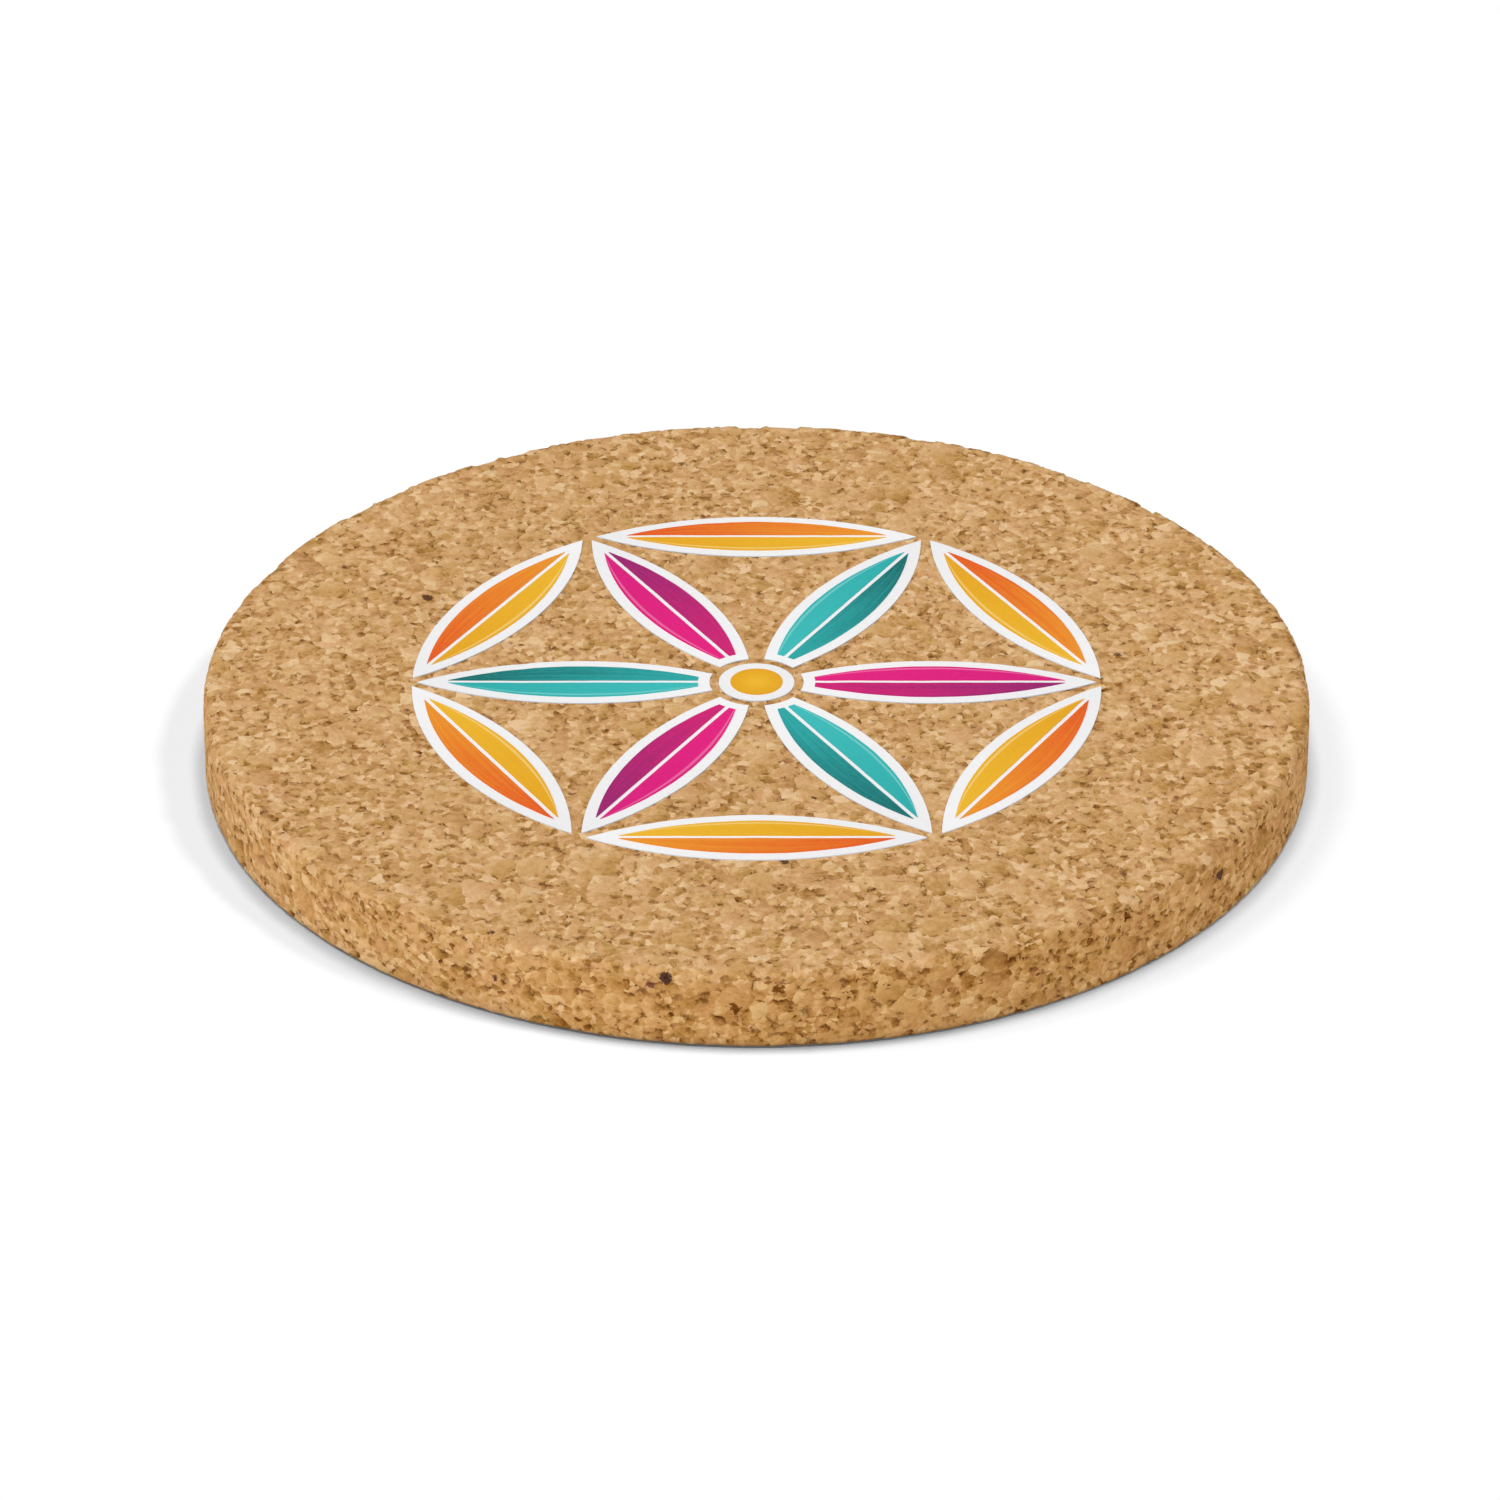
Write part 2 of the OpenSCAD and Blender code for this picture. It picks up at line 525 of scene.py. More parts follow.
        axis = add(tree, VECTOR_MATH, (grain.cells.random, (MEAN,) * 3), operation="SUBTRACT")[0]
        angle = add(tree, MATH, (own[1], self.fibre_turns * math.tau), operation="MULTIPLY")[0]
        feeds = {"Vector": place, "Axis": axis, "Angle": angle}
        turned = add(tree, "ShaderNodeVectorRotate", feeds, rotation_type="AXIS_ANGLE")[0]
        draw = (1, 1, 1 / self.fibre_length)
        drawn = add(tree, VECTOR_MATH, (turned, draw), operation="MULTIPLY")[0]
        fibre = add(tree, NOISE, self.fibre.feeds(drawn))[0]

        flatten = (1, 1, self.grain.flatten)
        flattened = add(tree, VECTOR_MATH, (place, flatten), operation="MULTIPLY")[0]
        patch = add(tree, NOISE, self.patch.feeds(flattened))["Color"]
        patch = add(tree, PARTS, (patch,))

        half = self.pale_chance / 2
        feeds = (own[0], self.grain.whole_shares[0] + half, half)
        chosen = add(tree, MATH, feeds, operation="COMPARE")[0]
        pale = add(tree, MATH, (chosen, self.pale_share), operation="MULTIPLY")[0]
        return CorkSockets(tree, place, rim, wear_and_shade, grain, own, fibre, patch, pale)

    def tone(self, at: CorkSockets) -> Socket:
        """Adds up how pale a point is.

        A granule has its own tone, and so have its crumbs. It has painted shade on the arris, is darker on the
        rim, partly as painted shade, and drifts with the patches. Painted facet shading makes it paler on its
        high side and darker on its low side. Painted shade darkens its border where it opens, and a painted
        highlight lightens it where it is closed. The fibre's streaks come last.

        Args:
            at: The finish's sockets.

        Returns:
            The tone, about 0 to 1.
        """
        tree, cells, run = at.tree, at.grain.cells, at.grain.run
        largest = self.grain.whole_shares[0]
        feeds = (cells.large, self.whole_fade * largest, largest, *self.crumb_tones)
        crumbly = add(tree, RANGE, feeds)[0]
        crumb = add(tree, MATH, (cells.flake, MEAN), operation="SUBTRACT")[0]
        drift = add(tree, MATH, (at.patch[0], MEAN), operation="SUBTRACT")[0]
        drifting = add(tree, RANGE, (at.rim, 0.0, 1.0, *self.patch_tones))[0]
        # painted facet shading, stronger on the rim
        facet_shading = add(tree, RANGE, (at.rim, 0.0, 1.0, *self.painted_facet_shading))[0]
        # painted shade spreading from the open borders, deeper on the rim
        darkest = add(tree, RANGE, (at.rim, 0.0, 1.0, *self.open_painted_shade))[0]
        open_border_shade = add(tree, RANGE, (cells.edge, 0.0, self.open_reach, darkest, 0.0))[0]
        opened = add(tree, RANGE, (run, *self.open_runs))[0]
        # painted highlight along closed borders
        lip_highlight = add(tree, RANGE, (cells.edge, *self.lip_highlight_tones))[0]
        closed = add(tree, RANGE, (run, *self.lip_runs))[0]

        tone = add(tree, MATH, (at.own[2], self.granule_tone, self.base_tone), operation="MULTIPLY_ADD")[0]
        weighted = (
            (crumb, crumbly),
            # painted shade on the arris
            (at.wear_and_shade, self.arris_painted_shade),
            # painted shade on the rim
            (at.rim, self.rim_tone),
            (drift, drifting),
            # painted facet shading across each granule
            (cells.lean, facet_shading),
            # painted shade round open borders
            (open_border_shade, opened),
            (at.pale, 1.0),
            # painted highlight on closed borders
            (lip_highlight, closed),
            (at.fibre, self.fibre_tone),
        )
        for value, weight in weighted:
            tone = add(tree, MATH, (value, weight, tone), operation="MULTIPLY_ADD")[0]
        return tone

    def tint(self, at: CorkSockets, tone: Socket) -> Socket:
        """Turns a tone into a colour: a ramp of tans, granules' own tints, the warm rim with its painted shade,
        and gaps stained and darkened with painted shade.

        Args:
            at: The finish's sockets.
            tone: The tone.

        Returns:
            The colour.
        """
        tree = at.tree
        colour = add(tree, "ShaderNodeValToRGB", (tone,))[0]
        stops = colour.node.color_ramp.elements
        while len(stops) < len(self.tones):
            stops.new(1.0)
        for stop, (position, text) in zip(stops, self.tones):
            stop.position = position
            stop.color = linear_rgb(text)

        granules = add(tree, RANGE, (at.own[1], *self.pink_granules))[0]
        patches = add(tree, RANGE, (at.patch[1], *self.pink_patches))[0]
        pink = add(tree, MATH, (granules, patches), operation="MAXIMUM")[0]
        olive = add(tree, RANGE, (at.own[1], *self.olive_granules))[0]
        for share, text in ((pink, self.pink), (olive, self.olive), (at.pale, self.pale)):
            colour = add(tree, MIX, {0: share, 6: colour, 7: linear_rgb(text)}, data_type="RGBA")[2]
        # the rim's warm tint, partly painted shade
        colour = add(tree, MIX, {0: at.rim, 6: colour, 7: linear_rgb(self.rim_tint)}, **MULTIPLY_TINT)[2]

        # gaps and pores take the stain and painted shade by these shares
        depths = []
        for opened, shares in ((at.grain.crevice, self.crevice_shares), (at.grain.pore, self.pore_shares)):
            share = add(tree, RANGE, (at.rim, 0.0, 1.0, *shares))[0]
            depths.append(add(tree, MATH, (opened, share), operation="MULTIPLY")[0])
        deepest = add(tree, MATH, tuple(depths), operation="MAXIMUM")[0]
        return add(tree, MIX, {0: deepest, 6: colour, 7: linear_rgb(self.gap_stain_and_shade)}, **MULTIPLY_TINT)[2]

    def speckle(self, at: CorkSockets, colour: Socket) -> Socket:
        """Lays dark bits of outer bark on a colour: rare scattered ones, and a few at set places.

        A bit is a ball about its middle, with a border that the fibre makes ragged.

        Args:
            at: The finish's sockets.
            colour: The colour round the bits.

        Returns:
            The colour with the bits.
        """
        tree = at.tree
        point = add(tree, VORONOI, {"Vector": at.place, "Scale": 1 / self.bark_run}, feature="F1")
        chance = add(tree, PARTS, (point["Color"],))[0]
        radius = add(tree, RANGE, (chance, self.bark_rarity, 1.0, 0.0, -self.bark_radius))[0]
        feeds = (point["Distance"], self.bark_run, radius)
        bits = [(add(tree, MATH, feeds, operation="MULTIPLY_ADD")[0], self.bark)]
        for middle, reach, text in self.bark_bits:
            off = add(tree, VECTOR_MATH, (at.place, middle), operation="DISTANCE")["Value"]
            bits.append((add(tree, MATH, (off, reach), operation="SUBTRACT")[0], text))
        for beyond, text in bits:
            feeds = (at.fibre, self.bark_ragged, beyond)
            ragged = add(tree, MATH, feeds, operation="MULTIPLY_ADD")[0]
            cover = add(tree, RANGE, (ragged, *self.bark_border))[0]
            colour = add(tree, MIX, {0: cover, 6: colour, 7: linear_rgb(text)}, data_type="RGBA")[2]
        return colour


@dataclass(frozen=True)
class PrintedInk:
    """Printing ink cured on cork: an even film of low sheen that follows the granules under it.

    The eye sees strong colour that deepens towards one end of a petal in brushed streaks, a thin paler line
    inside one edge, and a faint mottle where the film lies thicker or thinner.
    """

    name: str
    near: str
    far: str
    streaks: float = 0.0
    line: str = "#ffffff"
    line_share: float = 0.0
    line_rise: Span = (0.76, 0.82)  # shares of the way across a half petal
    line_fall: Span = (0.86, 0.92)
    stroke_counts: Triple = (1.3, 7.0, 1.0)  # along and across a petal, and from petal to petal
    stroke: Ripple = Ripple(1.0, 3.0, 0.65)  # read in those counts, not in millimetres
    mottle: Ripple = Ripple(0.45, 3.0)
    mottle_share: float = 0.24
    mottle_height: float = 0.05
    roughness: Ramp = (0.2, 0.8, 0.66, 0.82)
    gloss: float = 0.2

    def material(self) -> bpy.types.Material:
        """Makes the finish as a node material that reads the film's own attributes.

        Returns:
            The material.
        """
        material = new_material(f"cured_ink_{self.name}")
        tree = material.node_tree
        place = add(tree, ATTRIBUTE, attribute_name=PLACE)["Vector"]
        petal = add(tree, ATTRIBUTE, attribute_name=PETAL)["Vector"]
        along, across, _ = add(tree, PARTS, (petal,))
        mottle = add(tree, NOISE, self.mottle.feeds(place))[0]

        brushed = add(tree, VECTOR_MATH, (petal, self.stroke_counts), operation="MULTIPLY")[0]
        strokes = add(tree, NOISE, self.stroke.feeds(brushed))[0]
        strokes = add(tree, MATH, (strokes, MEAN), operation="SUBTRACT")[0]
        share = add(tree, MATH, (strokes, self.streaks, along), operation="MULTIPLY_ADD")[0]
        feeds = (mottle, self.mottle_share, -MEAN * self.mottle_share)
        uneven = add(tree, MATH, feeds, operation="MULTIPLY_ADD")[0]
        share = add(tree, MATH, (share, uneven), operation="ADD", use_clamp=True)[0]
        feeds = {0: share, 6: linear_rgb(self.near), 7: linear_rgb(self.far)}
        colour = add(tree, MIX, feeds, data_type="RGBA")[2]
        if self.line_share:
            rise = add(tree, RANGE, (across, *self.line_rise, 0.0, self.line_share))[0]
            fall = add(tree, RANGE, (across, *self.line_fall, 1.0, 0.0))[0]
            line = add(tree, MATH, (rise, fall), operation="MULTIPLY")[0]
            colour = add(tree, MIX, {0: line, 6: colour, 7: linear_rgb(self.line)}, data_type="RGBA")[2]

        bump = add(tree, BUMP, {"Height": mottle, "Strength": 1.0, "Distance": self.mottle_height * MM})[0]
        rough = add(tree, RANGE, (mottle, *self.roughness))[0]
        feeds = {"Base Color": colour, "Normal": bump, "Roughness": rough, "Specular IOR Level": self.gloss}
        add(tree, SURFACE, (add(tree, SHADER, feeds)[0],))
        return material


# The inks, by the record's slots
INKS = {
    "white_ink": PrintedInk("white", "#f4f3f4", "#eeedee"),
    "teal_ink": PrintedInk("teal", "#3cbab8", "#2aa9a7", 0.7, "#8ad6d3", 0.55),
    "deep_teal_ink": PrintedInk("deep_teal", "#2ba6a4", "#0a6261", 1.3),
    "magenta_ink": PrintedInk("magenta", "#e21b7d", "#d4187a", 0.7, "#f086b4", 0.55),
    "deep_magenta_ink": PrintedInk("deep_magenta", "#cf1e72", "#8d1e69", 1.3),
    "amber_ink": PrintedInk("amber", "#ecb62c", "#e2a21c", 0.7, "#f7dc8c", 0.55),
    "orange_ink": PrintedInk("orange", "#ea962a", "#e0561c", 1.3),
}


def square_to_disc(count: int) -> np.ndarray:
    """Spreads a square grid over a unit disc.

    Each square ring of half-width h becomes the circle of radius h, with its points evenly spaced in angle:
    where |u| > |v| the angle is a quarter turn times v / u / 2, and elsewhere it is measured from the v axis.

    Args:
        count: Cells along a side.

    Returns:
        Array of (count + 1, count + 1, 2) points.
    """
    u, v = np.meshgrid(np.linspace(-1, 1, count + 1), np.linspace(-1, 1, count + 1), indexing="ij")
    wide = np.abs(u) > np.abs(v)
    safe_u, safe_v = np.where(u == 0, 1, u), np.where(v == 0, 1, v)
    radius = np.where(wide, u, v)
    angle = np.where(wide, v / safe_u, 2 - u / safe_v) * math.pi / 4
    return np.stack([radius * np.cos(angle), radius * np.sin(angle)], axis=-1)


def square_index(count: int, start: int = 0) -> np.ndarray:
    """Numbers a square grid's points.

    Args:
        count: Cells along a side.
        start: Number of the first point.

    Returns:
        Array of (count + 1, count + 1) vertex numbers.
    """
    return start + np.arange((count + 1) ** 2).reshape(count + 1, count + 1)


def square_loop(index: np.ndarray) -> np.ndarray:
    """Picks a square grid's border points, in order round it from the corner at (1, -1).

    Args:
        index: The grid's vertex numbers.

    Returns:
        Array of four vertex numbers per cell of a side, anticlockwise seen from above.
    """
    return np.concatenate([index[-1, :-1], index[:0:-1, -1], index[0, :0:-1], index[:-1, 0]])


def grid_quads(index: np.ndarray) -> np.ndarray:
    """Quads of a grid of vertex numbers.

    Args:
        index: Vertex numbers, rows by columns.

    Returns:
        Array of (n, 4) vertex numbers, facing up for rows along X and columns along Y.
    """
    corners = index[:-1, :-1], index[1:, :-1], index[1:, 1:], index[:-1, 1:]
    return np.stack(corners, axis=-1).reshape(-1, 4)


def mesh_from(name: str, points: np.ndarray, *faces: np.ndarray) -> bpy.types.Mesh:
    """Makes a mesh from arrays.

    Args:
        name: The mesh's name.
        points: Positions in metres, n rows.
        faces: Arrays of vertex numbers, each with one face per row.

    Returns:
        The mesh, shaded smooth.
    """
    mesh = bpy.data.meshes.new(name)
    totals = np.concatenate([np.full(len(part), part.shape[1]) for part in faces])
    corners = np.concatenate([part.ravel() for part in faces])
    mesh.vertices.add(len(points))
    mesh.vertices.foreach_set("co", points.astype(np.float32).ravel())
    mesh.loops.add(len(corners))
    mesh.loops.foreach_set("vertex_index", corners.astype(np.int32))
    mesh.polygons.add(len(totals))
    mesh.polygons.foreach_set("loop_start", (np.cumsum(totals) - totals).astype(np.int32))
    mesh.update(calc_edges=True)
    mesh.validate()
    mesh.polygons.foreach_set("use_smooth", np.ones(len(mesh.polygons), bool))
    return mesh


def keep_values(mesh: bpy.types.Mesh, name: str, values: np.ndarray) -> None:
    """Stores a number or a vector per vertex on a mesh.

    Args:
        mesh: The mesh.
        name: The attribute's name.
        values: Array of n numbers, or of (n, 3).
    """
    kind, key = ("FLOAT", "value") if values.ndim == 1 else ("FLOAT_VECTOR", "vector")
    attribute = mesh.attributes.new(name, kind, "POINT")
    attribute.data.foreach_set(key, values.astype(np.float32).ravel())


class Group(Enum):
    """What is lit together: the white floor has lamps of its own, apart from the coaster's."""

    COASTER = "coaster"
    FLOOR = "stage"

    def collection(self) -> bpy.types.Collection:
        """Finds the group's collection, which is made in the scene when it is first asked for.

        Returns:
            The collection.
        """
        found = bpy.data.collections.get(self.value)
        if found is None:
            found = bpy.data.collections.new(self.value)
            bpy.context.scene.collection.children.link(found)
        return found


def finished_piece(
    mesh: bpy.types.Mesh, node: str, material: bpy.types.Material
) -> bpy.types.Object:
    """Puts a mesh in the scene in place of a CAD node.

    Args:
        mesh: The piece's mesh, in the frame's own place.
        node: CAD node that it stands for.
        material: The finish.

    Returns:
        The piece.
    """
    piece = bpy.data.objects.new(mesh.name, mesh)
    Group.COASTER.collection().objects.link(piece)
    mesh.materials.append(material)
    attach(piece, "root")
    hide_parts(node)
    log.info("%s: %d faces, for %s", piece.name, len(mesh.polygons), node)
    return piece


@dataclass
class CorkSlab:
    """The cork disc, with its granules standing and missing as real relief. Sizes are in millimetres."""

    grain: CorkGrain
    radius: float
    thickness: float
    top_edge: float = 0.6
    foot_edge: float = 0.4
    face_cells: int = 240
    top_rows: int = 3
    wall_rows: int = 15
    foot_rows: int = 2
    foot_relief: float = 0.4  # share of the relief that the underside keeps
    chip_depth: float = 0.25
    chip_reach: float = 0.7
    chip_from: float = 0.72  # looseness at which granules start to chip
    chip_span: float = 0.2
    rim_fade: float = 1.2  # depth below the top at which the rim's look is full
    painted_light_rim_least: float = 0.45  # share of the rim's look that is left towards -X: painted light, so the left of the rim reads paler
    top_spot: Triple = (0.32, 0.68, 0.31)  # middle and radius in the baked picture
    foot_spot: Triple = (0.79, 0.35, 0.2)
    strip_start: float = 0.01
    strip_length: float = 0.98
    strip_width: float = 0.053
    strip_pitch: float = 0.065

    @classmethod
    def from_frame(cls, grain: CorkGrain) -> "CorkSlab":
        """Takes the disc's size from its CAD node.

        Args:
            grain: Pattern of the granules.

        Returns:
            The slab.
        """
        low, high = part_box("cork_slab")
        return cls(grain, (high.x - low.x) / 2 / MM, (high.z - low.z) / MM)

    def profile(self) -> tuple[np.ndarray, np.ndarray, np.ndarray]:
        """Half section of the rim, from the top face's border to the underside's.

        A quarter circle of the top edge's radius, the straight wall, and a quarter circle of the foot's.

        Returns:
            Radius and height, and the outward normal's angle above level, of each point.
        """
        top_turn = np.linspace(math.pi / 2, 0, self.top_rows + 1)
        foot_turn = np.linspace(0, -math.pi / 2, self.foot_rows + 1)
        wall = np.linspace(self.thickness - self.top_edge, self.foot_edge, self.wall_rows + 1)[1:-1]
        top_r = self.radius - self.top_edge + self.top_edge * np.cos(top_turn)
        top_z = self.thickness - self.top_edge + self.top_edge * np.sin(top_turn)
        foot_r = self.radius - self.foot_edge + self.foot_edge * np.cos(foot_turn)
        foot_z = self.foot_edge + self.foot_edge * np.sin(foot_turn)
        radius = np.concatenate([top_r, np.full(len(wall), self.radius), foot_r])
        height = np.concatenate([top_z, wall, foot_z])
        turn = np.concatenate([top_turn, np.zeros(len(wall)), foot_turn])
        return radius, height, turn

    def points(self) -> tuple[np.ndarray, np.ndarray]:
        """Places the slab's points before their relief: the top, the rim's rings and the underside.

        Each face is a square grid spread over a disc, so a ring has four points per cell of the top's side.
        The underside has half as many cells a side, and its grid stops one cell short of the last ring.

        Returns:
            Points, and the outward normal's angle above level at each.
        """
        radius, height, turn = self.profile()
        cells, half, columns = self.face_cells, self.face_cells // 2, 4 * self.face_cells
        top = square_to_disc(cells).reshape(-1, 2) * radius[0]
        angle = (np.arange(columns) / columns - 1 / 8) * math.tau  # from the square's corner at (1, -1)
        around = np.stack([np.cos(angle), np.sin(angle)], axis=-1)
        rings = (around * radius[1:, None, None]).reshape(-1, 2)
        inset = 2 * radius[0] / half
        foot = square_to_disc(half).reshape(-1, 2) * (radius[-1] - inset)
        flat = np.concatenate([top, rings, foot])
        counts = [len(top), *[columns] * (len(turn) - 1), len(foot)]
        level = np.repeat([*turn, turn[-1]], counts)
        return np.column_stack([flat, np.repeat([*height, 0.0], counts)]), level

    def faces(self) -> tuple[np.ndarray, ...]:
        """Joins the slab's points: quads, and a band of triangles round the underside.

        The band joins the last ring to a border with half as many points, three triangles to each of them.

        Returns:
            Faces of the top, the rim, the underside and the band.
        """
        columns, rings = 4 * self.face_cells, self.top_rows + self.wall_rows + self.foot_rows
        top = square_index(self.face_cells)
        ring = top.size + np.arange(rings * columns).reshape(rings, columns)
        ring = np.concatenate([square_loop(top)[None], ring])
        foot = square_index(self.face_cells // 2, top.size + rings * columns)

        inner = square_loop(foot)
        inner_next = np.roll(inner, -1)
        outer, between = ring[-1, 0::2], ring[-1, 1::2]
        outer_next = np.roll(outer, -1)
        triangles = (outer, inner, between), (between, inner, inner_next), (between, inner_next, outer_next)
        band = np.concatenate([np.stack(corners, axis=-1) for corners in triangles])
        closed = np.concatenate([ring, ring[:, :1]], axis=1)
        return grid_quads(top), grid_quads(closed), grid_quads(foot)[:, ::-1], band

    def carve(self, points: np.ndarray, level: np.ndarray) -> tuple[np.ndarray, np.ndarray, np.ndarray]:
        """Moves points along the outward normal by the grain's height, and chips the arris.

        The relief is full at the top and fades with the root of the height to its share at the foot. Wear is
        a bell curve of the distance from the arris: loose granules chip there, and the finish lays painted
        shade there.

        Args:
            points: Points before their relief.
            level: The outward normal's angle above level at each.

        Returns:
            The moved points, and the shares of the rim's look and of wear and painted shade at each.
        """
        out = points[:, :2] / np.maximum(np.linalg.norm(points[:, :2], axis=1, keepdims=True), TINY)
        normal = np.column_stack([out * np.cos(level)[:, None], np.sin(level)])
        rim = np.cos(level) * np.clip((self.thickness - points[:, 2]) / self.rim_fade, 0, 1)
        # painted light: the rim's darker, warmer look, with its deeper pores, fades towards -X, so the left of
        # the rim reads as lit
        rim *= np.clip((points[:, 0] + self.radius) / self.radius, self.painted_light_rim_least, 1)
        relief, loose = self.grain.sample(points, rim)
        rise = np.clip(points[:, 2] / self.thickness, 0, 1)
        share = self.foot_relief + (1 - self.foot_relief) * np.sqrt(rise)
        # bell curve about the arris: it chips the relief, and the finish paints shade with it
        wear_and_shade = np.exp(-((self.arris_distance(points) / self.chip_reach) ** 2))
        chip = np.clip((loose - self.chip_from) / self.chip_span, 0, 1) * wear_and_shade
        moved = points + normal * (relief * share - self.chip_depth * chip)[:, None]
        return moved, rim, wear_and_shade

    def arris_distance(self, points: np.ndarray) -> np.ndarray:
        """Distance of points from the top arris, the circle where the top face meets the rim.

        Args:
            points: Points, n rows.

        Returns:
            Distances, n values.
        """
        out = np.linalg.norm(points[:, :2], axis=1) - self.radius
        return np.hypot(out, points[:, 2] - self.thickness)

    def build(self) -> bpy.types.Mesh:
        """Makes the closed mesh, with what its finish reads.

        Returns:
            The mesh.
        """
        points, level = self.points()
        faces = self.faces()
        moved, rim, wear_and_shade = self.carve(points, level)
        mesh = mesh_from("cork_body", moved * MM, *faces)
        for name, values in ((PLACE, points), (RIM, rim), (ARRIS, wear_and_shade)):
            keep_values(mesh, name, values)
        self.lay_out(mesh, points, faces)
        return mesh

    def lay_out(self, mesh: bpy.types.Mesh, points: np.ndarray, faces: tuple[np.ndarray, ...]) -> None:
        """Lays the slab out flat for its baked picture: a large top, two strips of rim, a smaller underside.

        A face is seen straight on and shrunk to its circle. The rim is unrolled: the share of half a turn
        goes along a strip and the share of the section's length goes across it.

        Args:
            mesh: The slab's mesh.
            points: Places of its vertices before their relief.
            faces: Faces of the top, the rim, the underside and its band, in the mesh's order.
        """
        top, rim, foot, band = faces
        flat = points[:, :2] / self.radius
        top_uv = self.top_spot[:2] + self.top_spot[2] * flat[top]
        foot_uv = [self.foot_spot[:2] + self.foot_spot[2] * flat[part] * (1, -1) for part in (foot, band)]

        radius, height, _ = self.profile()
        down = np.concatenate([[0], np.cumsum(np.hypot(np.diff(radius), np.diff(height)))])
        rows = down / down[-1]
        half = 2 * self.face_cells
        column = np.arange(2 * half)
        left, right = column % half / half, (column % half + 1) / half
        along = np.stack([left, left, right, right], axis=-1)
        across = np.stack([rows[:-1], rows[1:], rows[1:], rows[:-1]], axis=-1)
        x = np.broadcast_to(self.strip_start + self.strip_length * along, (len(across), *along.shape))
        y = self.strip_pitch * (1 + column // half)[None, :, None] - self.strip_width * across[:, None]
        rim_uv = np.stack([x, y], axis=-1).reshape(len(rim), 4, 2)
        uv = np.concatenate([part.reshape(-1, 2) for part in (top_uv, rim_uv, *foot_uv)])
        mesh.uv_layers.new(name="OFBake").data.foreach_set("uv", uv.astype(np.float32).ravel())

    def dress(self, finish: AgglomeratedCork) -> bpy.types.Object:
        """Builds the slab and gives it its finish.

        Args:
            finish: The cork's finish.

        Returns:
            The piece.
        """
        piece = finished_piece(self.build(), "cork_slab", finish.material())
        piece.visible_diffuse = False  # the white floor takes the slab's shadow but no brown glow from it
        return piece


@dataclass
class PrintBed:
    """Height of the cork's face under the print, smoothed as a cured film bridges its gaps, in millimetres.

    The grain's height on a square lattice is blurred by a bell curve, as a product of their spectra, and read
    between lattice points by bilinear weights.
    """

    grain: CorkGrain
    face_z: float
    print_radius: float
    margin: float = 1.0
    step: float = 0.25
    blur: float = 0.4
    reach: float = field(init=False)
    heights: np.ndarray = field(init=False)

    def __post_init__(self) -> None:
        """Fills the lattice."""
        self.reach = self.print_radius + self.margin
        line = np.arange(-self.reach, self.reach + self.step, self.step)
        x, y = np.meshgrid(line, line, indexing="ij")
        points = np.stack([x, y, np.full_like(x, self.face_z)], axis=-1).reshape(-1, 3)
        relief, _ = self.grain.sample(points, np.zeros(len(points)))
        waves = np.fft.fftfreq(len(line), self.step) ** 2
        bell = np.exp(-2 * (math.pi * self.blur) ** 2 * (waves[:, None] + waves[None]))
        self.heights = np.fft.ifft2(np.fft.fft2(relief.reshape(x.shape)) * bell).real

    def at(self, points: np.ndarray) -> np.ndarray:
        """Smoothed height at points on the face.

        Args:
            points: Array of (n, 2) places.

        Returns:
            Heights from the sanded face, n values, none above 0.
        """
        place = (points + self.reach) / self.step
        low = np.floor(place).astype(int)
        part = place - low
        total = np.zeros(len(points))
        for right in (0, 1):
            for up in (0, 1):
                weight = np.abs(1 - right - part[:, 0]) * np.abs(1 - up - part[:, 1])
                total += weight * self.heights[low[:, 0] + right, low[:, 1] + up]
        return np.minimum(total, 0)


class Layer(Enum):
    """A petal's films, by the last word of their nodes' names."""

    WHITE = "white"
    LIGHT = "light"
    SHADE = "shade"


class Ring(Enum):
    """The two rings of petals, by the first word of their nodes' names."""

    INNER = "inner"
    OUTER = "outer"


